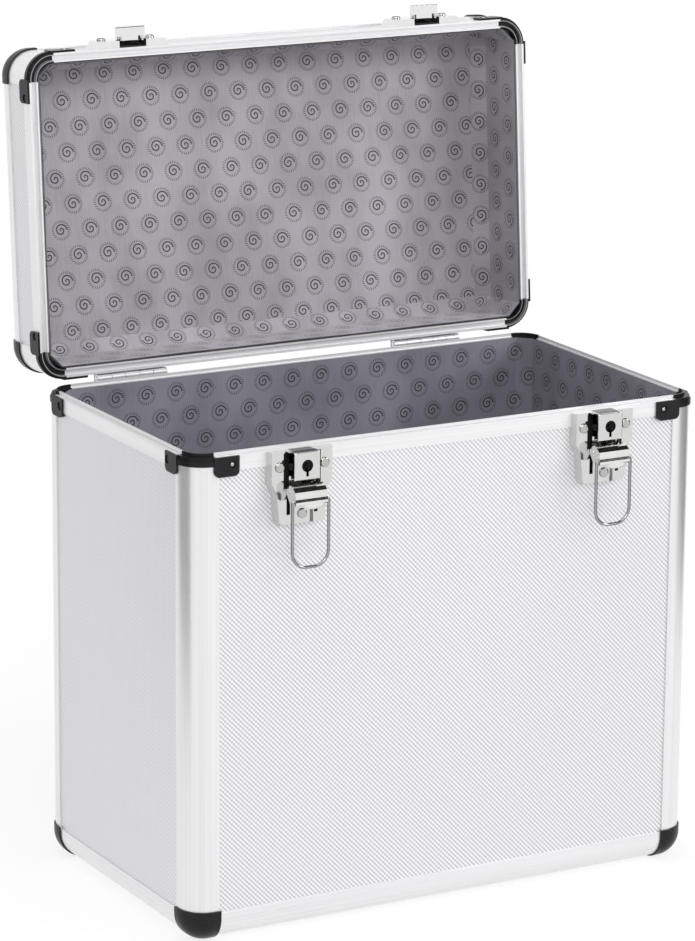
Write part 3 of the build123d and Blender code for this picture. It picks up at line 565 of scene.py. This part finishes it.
def pitted(name, scale, detail, dark, light, roughness, depth, strength):
    """Matt material whose colour and surface are broken up by one fine noise."""
    material, shader = new_material(name)
    tree = material.node_tree
    pits = noise(tree, object_place(tree), scale, detail)
    fill(tree, shader.inputs["Base Color"], blend_colours(tree, pits, dark, light))
    shader.inputs["Roughness"].default_value = roughness
    relief(tree, shader, pits, depth, strength)
    return material


lid_cloth = lining_cloth("printed_cloth_lid", (0.336, 0.320, 0.350, 1.0), (0.040, 0.036, 0.052, 1.0))
body_cloth = lining_cloth("printed_cloth_body", (0.205, 0.202, 0.240, 1.0), (0.030, 0.028, 0.042, 1.0))
dark_foam = pitted("foam_edge", 2400.0, 2.0, (0.060, 0.060, 0.064, 1.0), (0.110, 0.110, 0.115, 1.0),
                   0.9, 0.0002, 0.6)
print("two cloths and a foam")

# %% [markdown]
# ## The cloth's map
#
# Cloth is flat before it is glued, so its map is laid as if it were unrolled again. Blender's own unwrap
# would stretch it a little and lose its size. Here the walls' map goes round the box from the middle of the
# back wall, and up from the fold at the bottom. The bottom's map is plain X and Y. All of it is in metres,
# so the print keeps its size, and a shift sets where it starts. The cloth on a bottom was glued down a
# little askew, so its rows and columns lean there.

# %% Lay the cloth's map
SLANT = 0.0082
FOLD = SLANT * math.sqrt(2)
COLUMN_LEAN, ROW_LEAN = 0.078, 0.018


def round_the_walls(x, y, normal, half_x, half_y):
    """How far along the unrolled wall a point lies, from the middle of the back wall."""
    side = 1.0 if normal.x > 0 else -1.0
    flat_x, flat_y = half_x - SLANT, half_y - SLANT
    ax, ay = abs(normal.x), abs(normal.y)
    if normal.y > 0 and ay > 2 * ax:
        return x
    if normal.y > 0 and ax < 2 * ay:
        return side * (flat_x + (side * x - flat_x + half_y - y) / math.sqrt(2))
    if ax >= 2 * ay:
        return side * (flat_x + FOLD + flat_y - y)
    corner = flat_x + FOLD + 2 * flat_y
    if ay > 2 * ax:
        return corner + FOLD + flat_x - x
    return side * (corner + (half_x - side * x - flat_y - y) / math.sqrt(2))


def lay_cloth_map(mesh, half_x, half_y, low, upside_down, wall_start, sheet_start):
    """UV map in metres, as if the cloth were unrolled; each start is a place where a motif lies."""
    layer = mesh.loops.layers.uv.new("cloth")
    hand = -1.0 if upside_down else 1.0
    for face in mesh.faces:
        normal = face.normal
        for loop in face.loops:
            x, y, z = loop.vert.co
            if abs(normal.z) > 0.9:
                v = hand * y + ROW_LEAN * x - sheet_start[1]
                u = x + COLUMN_LEAN * v - sheet_start[0]
            else:
                u = hand * round_the_walls(x, y, normal, half_x, half_y) - wall_start[0]
                up = z - low
                v = (up - SLANT + FOLD if up > SLANT else up * math.sqrt(2)) - wall_start[1]
            loop[layer].uv = (u + MOTIF_STEP / 2, v + ROW_STEP / 2)


print("a wall's fold is", round(FOLD * 1000, 1), "mm wide")

# %% [markdown]
# ## The sheet's shape
#
# A lining is one sheet pressed into the box and glued, so it is an open box with cut corners. A cloth
# simulation could press it in, but glued cloth hardly moves and the result would vary. So it starts from a
# cube: the top is taken off, the upright and bottom edges are bevelled to the corner's slant, and the walls
# are divided finely enough to hold the slight puckers that glued cloth has.

# %% Shape a lining
LONGEST_EDGE, DIVISIONS = 0.012, 6
PUCKER_DEPTH, THICKNESS = 0.0004, 0.0007


def shape_lining(half_x, half_y, low, high):
    """Open box of cloth with slanted corners, before it is turned into place."""
    mesh = bmesh.new()
    bmesh.ops.create_cube(mesh, size=1.0)
    bmesh.ops.scale(mesh, vec=(2 * half_x, 2 * half_y, high - low), verts=mesh.verts)
    bmesh.ops.translate(mesh, vec=(0.0, 0.0, (high + low) / 2), verts=mesh.verts)
    top = [face for face in mesh.faces if face.normal.z > 0.5]
    bmesh.ops.delete(mesh, geom=top, context="FACES_ONLY")
    folds = [edge for edge in mesh.edges if not edge.is_boundary]
    bmesh.ops.bevel(mesh, geom=folds, offset=SLANT, offset_type="OFFSET", segments=1, profile=0.5,
                    affect="EDGES", material=-1)
    for _ in range(DIVISIONS):
        long_edges = [edge for edge in mesh.edges if edge.calc_length() > LONGEST_EDGE]
        if not long_edges:
            break
        bmesh.ops.subdivide_edges(mesh, edges=long_edges, cuts=1, use_grid_fill=True)
    mesh.normal_update()
    return mesh


def pucker(mesh):
    """Move the cloth in and out very slightly, in long soft waves that share no step and never repeat."""
    for vertex in mesh.verts:
        x, y, z = vertex.co
        wave = math.sin(x * 71.0 + z * 23.0) * math.sin(z * 57.0 + y * 49.0 + 0.7)
        wave += 0.6 * math.sin(x * 33.0 - z * 91.0 + y * 77.0)
        vertex.co -= vertex.normal * PUCKER_DEPTH * (1.0 + wave / 1.6) / 2


def make_object(name, mesh, material):
    """Turn a bmesh into a shown object with one material."""
    data = bpy.data.meshes.new(name)
    mesh.to_mesh(data)
    mesh.free()
    piece = bpy.data.objects.new(name, data)
    bpy.context.scene.collection.objects.link(piece)
    data.materials.append(material)
    return piece


def back_with_foam(piece):
    """Give a sheet its thickness, all of it inwards, with the dark foam showing at its cut edge."""
    piece.data.materials.append(dark_foam)
    wall = piece.modifiers.new("thickness", "SOLIDIFY")
    wall.thickness = THICKNESS
    wall.offset = -1.0
    wall.material_offset_rim = 1


print("a lining's edges are", LONGEST_EDGE * 1000, "mm at most")

# %% [markdown]
# ## The body's lining
#
# This sheet covers the bottom and the four walls of the deep box. It takes the place of the CAD model's
# plain lining, which would have to be cut open to get a map. Its flat size is its bottom plus one wall
# height on each side, as a cutter in the workshop would work it out.

# %% Line the body
HALF_X, HALF_Y = 0.1686, 0.0936
BODY_MOTIF_ASIDE, BODY_MOTIF_HEIGHT = 0.0053, 0.2733
body_low, body_high = 0.0064, 0.2986

body_sheet = shape_lining(HALF_X, HALF_Y, body_low, body_high)
lay_cloth_map(body_sheet, HALF_X, HALF_Y, body_low, False,
              wall_start=(BODY_MOTIF_ASIDE, BODY_MOTIF_HEIGHT - body_low - SLANT + FOLD),
              sheet_start=(0.0, 0.0))
pucker(body_sheet)
body_lining = make_object("body_lining_cloth", body_sheet, body_cloth)
back_with_foam(body_lining)
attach(body_lining, "case")
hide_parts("body_lining")

# %% [markdown]
# ## The lid's lining
#
# The lid has the same lining, only shallower. It could be shaped where the open lid stands, but then every
# size would have to be turned. So it is made upside down over the body, as the closed lid sits. Mirroring
# turns its faces inside out, so they are turned back. Then the sheet swings open about the hinge's pin.

# %% Line the lid
HINGE = Vector((0.0, 0.103, 0.301))
CLOSED_TOP = 0.3493
LID_MOTIF, PAST_CORNER = (0.0358, -0.0013), 0.010
lid_low, lid_high = 0.0054, 0.0496

lid_sheet = shape_lining(HALF_X, HALF_Y, lid_low, lid_high)
lay_cloth_map(lid_sheet, HALF_X, HALF_Y, lid_low, True,
              wall_start=(-(HALF_X - SLANT + FOLD + HALF_Y - SLANT + PAST_CORNER), FOLD / 2),
              sheet_start=LID_MOTIF)
pucker(lid_sheet)
swing = Matrix.Translation(HINGE) @ Matrix.Rotation(math.radians(-OPEN_ANGLE), 4, "X")
swing = swing @ Matrix.Translation(-HINGE)
upside_down = Matrix.Translation((0.0, 0.0, CLOSED_TOP)) @ Matrix.Diagonal((1.0, 1.0, -1.0, 1.0))
bmesh.ops.transform(lid_sheet, matrix=swing @ upside_down, verts=lid_sheet.verts)
bmesh.ops.reverse_faces(lid_sheet, faces=lid_sheet.faces)
lid_lining = make_object("lid_lining_cloth", lid_sheet, lid_cloth)
back_with_foam(lid_lining)
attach(lid_lining, "lid")
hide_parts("lid_lining")

# %% [markdown]
# ## Black sheets of painted shade behind the latches
#
# A thin black sheet lies under each latch plate and each keeper. It is painted shade: through the windows
# and slots the foil lies in deep shade, and the sheet shows it as black. Black paint on the foil would do for
# one view, but a thin block with slightly rounded edges is right from every side, and it moves with the lid.

# %% Black sheets of painted shade
# Near-black sheets of painted shade behind the latch plates and keepers.
BACKING_THICKNESS, BACKING_Y, BACKING_ROUNDING = 0.0004, -0.1004, 0.0001
backing_black = pitted("shade_backing_black", 1800.0, 3.0, (0.006, 0.006, 0.006, 1.0), (0.014, 0.014, 0.014, 1.0),
                0.8, 0.00005, 0.5)


def painted_shade_sheet(name, x, half_width, low, high, place=Matrix()):
    """Thin black sheet of painted shade on the closed case's front face; place then moves it, as the lid's
    swing does.
    """
    mesh = bmesh.new()
    bmesh.ops.create_cube(mesh, size=1.0)
    bmesh.ops.scale(mesh, vec=(2 * half_width, BACKING_THICKNESS, high - low), verts=mesh.verts)
    bmesh.ops.translate(mesh, vec=(x, BACKING_Y, (low + high) / 2), verts=mesh.verts)
    bmesh.ops.bevel(mesh, geom=mesh.edges[:], offset=BACKING_ROUNDING, segments=1, profile=0.5,
                    affect="EDGES", material=-1)
    bmesh.ops.transform(mesh, matrix=place, verts=mesh.verts)
    return make_object(name, mesh, backing_black)


# Each latch and each keeper gets a black sheet of painted shade behind it.
for side, x in (("left", -LATCH_OFFSET), ("right", LATCH_OFFSET)):
    under_latch = painted_shade_sheet("latch_" + side + "_shade_backing", x, 0.0125, 0.2600, 0.2975)
    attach(under_latch, "case")
    under_keeper = painted_shade_sheet("keeper_" + side + "_shade_backing", x, 0.0088, 0.3003, 0.3165, swing)
    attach(under_keeper, "lid")
print("four shade_backings", BACKING_THICKNESS * 1000, "mm thick")

# %% [markdown]
# ## Thumb tabs
#
# The lower edge of each lever is drawn out into a small rounded tab, like the bowl of a spoon, for the thumb
# that opens the latch. It could be bent from the lever's own sheet, but the CAD lever stays as it is. A
# sphere that is squeezed flat and leaned a little gives the bowl.

# %% Thumb tabs
TAB_SIZE, TAB_LEAN = (0.0072, 0.00175, 0.0032), 5.0
TAB_ASIDE, TAB_Y, TAB_Z = 0.0022, -0.1150, 0.2681


def thumb_tab(name, x):
    """Spoon-shaped tab under a lever's nose."""
    mesh = bmesh.new()
    bmesh.ops.create_uvsphere(mesh, u_segments=48, v_segments=24, radius=1.0)
    bmesh.ops.scale(mesh, vec=TAB_SIZE, verts=mesh.verts)
    leaned = Matrix.Rotation(math.radians(TAB_LEAN), 3, "X")
    bmesh.ops.rotate(mesh, cent=(0.0, 0.0, 0.0), matrix=leaned, verts=mesh.verts)
    bmesh.ops.translate(mesh, vec=(x + TAB_ASIDE, TAB_Y, TAB_Z), verts=mesh.verts)
    for face in mesh.faces:
        face.smooth = True
    return make_object(name, mesh, lever_nickel)


for side, x in (("left", -LATCH_OFFSET), ("right", LATCH_OFFSET)):
    tab = thumb_tab("latch_" + side + "_thumb_tab", x)
    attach(tab, "latch_" + side + "_lever")
print("two thumb tabs", round(2 * TAB_SIZE[0] * 1000, 1), "mm wide")

# %% [markdown]
# ## White floor
#
# The case stands on a plain white floor. Lamps alone would never light it evenly, and more light would
# bleach the case. So for the camera, for mirrors and through glass the floor mostly glows a plain white,
# and the rest of it is lit, so it keeps the shadow. The glow's share grows with the distance, so the floor
# runs into the sky without an edge.

# %% White floor
WHITE, LIT_WHITE = (1.0, 1.0, 1.0, 1.0), (0.90, 0.90, 0.90, 1.0)
NEAR, FAR = 0.3, 1.3
NEAR_GLOW, FAR_GLOW = 0.78, 0.93


def straight_rays(tree):
    """1 for rays from the camera, off mirrors and through glass, 0 for soft light."""
    path = add(tree, "ShaderNodeLightPath")
    mirrored = calc(tree, "MAXIMUM", path.outputs["Is Glossy Ray"], path.outputs["Is Transmission Ray"])
    return calc(tree, "MAXIMUM", path.outputs["Is Camera Ray"], mirrored)


def floor_white():
    """White that stays white for the camera and for mirrors, and still takes a shadow."""
    material, shader = new_material("white_floor")
    tree = material.node_tree
    tree.nodes.remove(shader)
    lit = add(tree, "ShaderNodeBsdfDiffuse", {"Color": LIT_WHITE})
    glow = add(tree, "ShaderNodeEmission", {"Color": WHITE, "Strength": 1.05})
    coordinates = add(tree, "ShaderNodeTexCoord")
    away = add(tree, "ShaderNodeVectorMath", {0: coordinates.outputs["Object"]}, operation="LENGTH")
    glowing = smooth_step(tree, away.outputs["Value"], NEAR, FAR, NEAR_GLOW, FAR_GLOW)
    share = calc(tree, "MULTIPLY", straight_rays(tree), glowing)
    mixed = add(tree, "ShaderNodeMixShader", {0: share, 1: lit.outputs[0], 2: glow.outputs[0]})
    tree.links.new(mixed.outputs[0], tree.nodes["Material Output"].inputs[0])
    return material


ground = bmesh.new()
bmesh.ops.create_grid(ground, x_segments=1, y_segments=1, size=30.0)
floor = make_object("floor", ground, floor_white())
print("floor glows", NEAR_GLOW, "near the case and", FAR_GLOW, "far off")

# %% [markdown]
# ## White sky
#
# The sky is the white backdrop, and it lights the case softly from all round. One brightness would have to
# serve both, and a sky bright enough to look white would flatten every shadow. So it is full white for the
# camera and for mirrors, and about half as bright as a light.

# %% White sky
SKY_LIGHT = 0.48

world = bpy.data.worlds.new("white_room")
world.use_nodes = True
bpy.context.scene.world = world
sky = world.node_tree
extra = calc(sky, "MULTIPLY", straight_rays(sky), 0.52)
backdrop = sky.nodes["Background"]
backdrop.inputs["Color"].default_value = WHITE
fill(sky, backdrop.inputs["Strength"], calc(sky, "ADD", extra, SKY_LIGHT))
print("sky lights with strength", SKY_LIGHT)

# %% [markdown]
# ## Soft lamps
#
# Four large soft lamps light the case. Small lamps or a sun would draw hard shadows and hard glints. The
# strongest stands at the front right, so that the front is lighter than the left side. Three weaker ones
# lift the lid's lining from the front left, the left side from behind it, and the tops from overhead.

# %% Soft lamps


def soft_lamp(name, place, target, width, height, power):
    """Large rectangular lamp that faces a point."""
    lamp = bpy.data.lights.new(name, "AREA")
    lamp.shape = "RECTANGLE"
    lamp.size = width
    lamp.size_y = height
    lamp.energy = power
    holder = bpy.data.objects.new(name, lamp)
    bpy.context.scene.collection.objects.link(holder)
    direction = Vector(target) - Vector(place)
    holder.rotation_euler = direction.to_track_quat("-Z", "Y").to_euler()
    holder.location = place


MIDDLE = (0.0, 0.0, 0.25)
soft_lamp("front_right_lamp", (2.2, -1.9, 1.5), MIDDLE, 1.6, 1.2, 38.0)
soft_lamp("front_left_lamp", (-0.9, -2.0, 1.5), (0.0, 0.1, 0.42), 0.8, 0.8, 12.0)
soft_lamp("left_lamp", (-2.3, 0.9, 0.7), MIDDLE, 1.0, 1.0, 12.0)
soft_lamp("overhead_lamp", (-0.2, -0.5, 2.4), MIDDLE, 1.6, 1.6, 14.0)
print("four soft lamps")

# %% [markdown]
# ## Black cards for the chrome
#
# Chrome in a white room has nothing to show, so it looks like white paper. A darker metal would only turn
# the whole latch grey. In a studio, black cards stand close by, and their reflections draw dark lines along
# the bright edges. These cards show only in reflections: the camera and the soft light pass through them.
# They stand near and are small, because the satin edges and the foil reflect them too.

# %% Black cards
card_black, card_shader = new_material("card_black")
card_shader.inputs["Base Color"].default_value = (0.01, 0.01, 0.01, 1.0)
card_shader.inputs["Roughness"].default_value = 1.0


def black_card(name, place, target, width, height):
    """Black card that only mirrors can see."""
    mesh = bmesh.new()
    bmesh.ops.create_grid(mesh, x_segments=1, y_segments=1, size=0.5)
    bmesh.ops.scale(mesh, vec=(width, height, 1.0), verts=mesh.verts)
    direction = Vector(target) - Vector(place)
    facing = direction.to_track_quat("-Z", "Y").to_matrix().to_4x4()
    bmesh.ops.transform(mesh, matrix=Matrix.Translation(place) @ facing, verts=mesh.verts)
    card = make_object(name, mesh, card_black)
    card.visible_camera = False
    card.visible_diffuse = False
    card.visible_shadow = False


black_card("card_left", (-0.75, 0.25, 0.30), (0.0, 0.25, 0.30), 0.90, 0.60)
black_card("card_right", (0.80, -0.25, 0.27), (0.0, -0.25, 0.27), 0.80, 0.54)
black_card("card_high", (0.54, -1.00, 0.82), (0.0, -0.1, 0.28), 0.60, 0.30)
black_card("card_above", (0.38, -0.30, 0.92), (0.38, -0.30, 0.0), 0.60, 0.50)
print("four black cards")

# %% [markdown]
# ## Colours as they are written
#
# Blender's usual view softens bright tones, as film does, and it would turn a white room grey. The Standard
# view shows each colour as it was written, so white stays white.

# %% Colours as they are written
bpy.context.scene.view_settings.view_transform = "Standard"
print("view transform", bpy.context.scene.view_settings.view_transform)
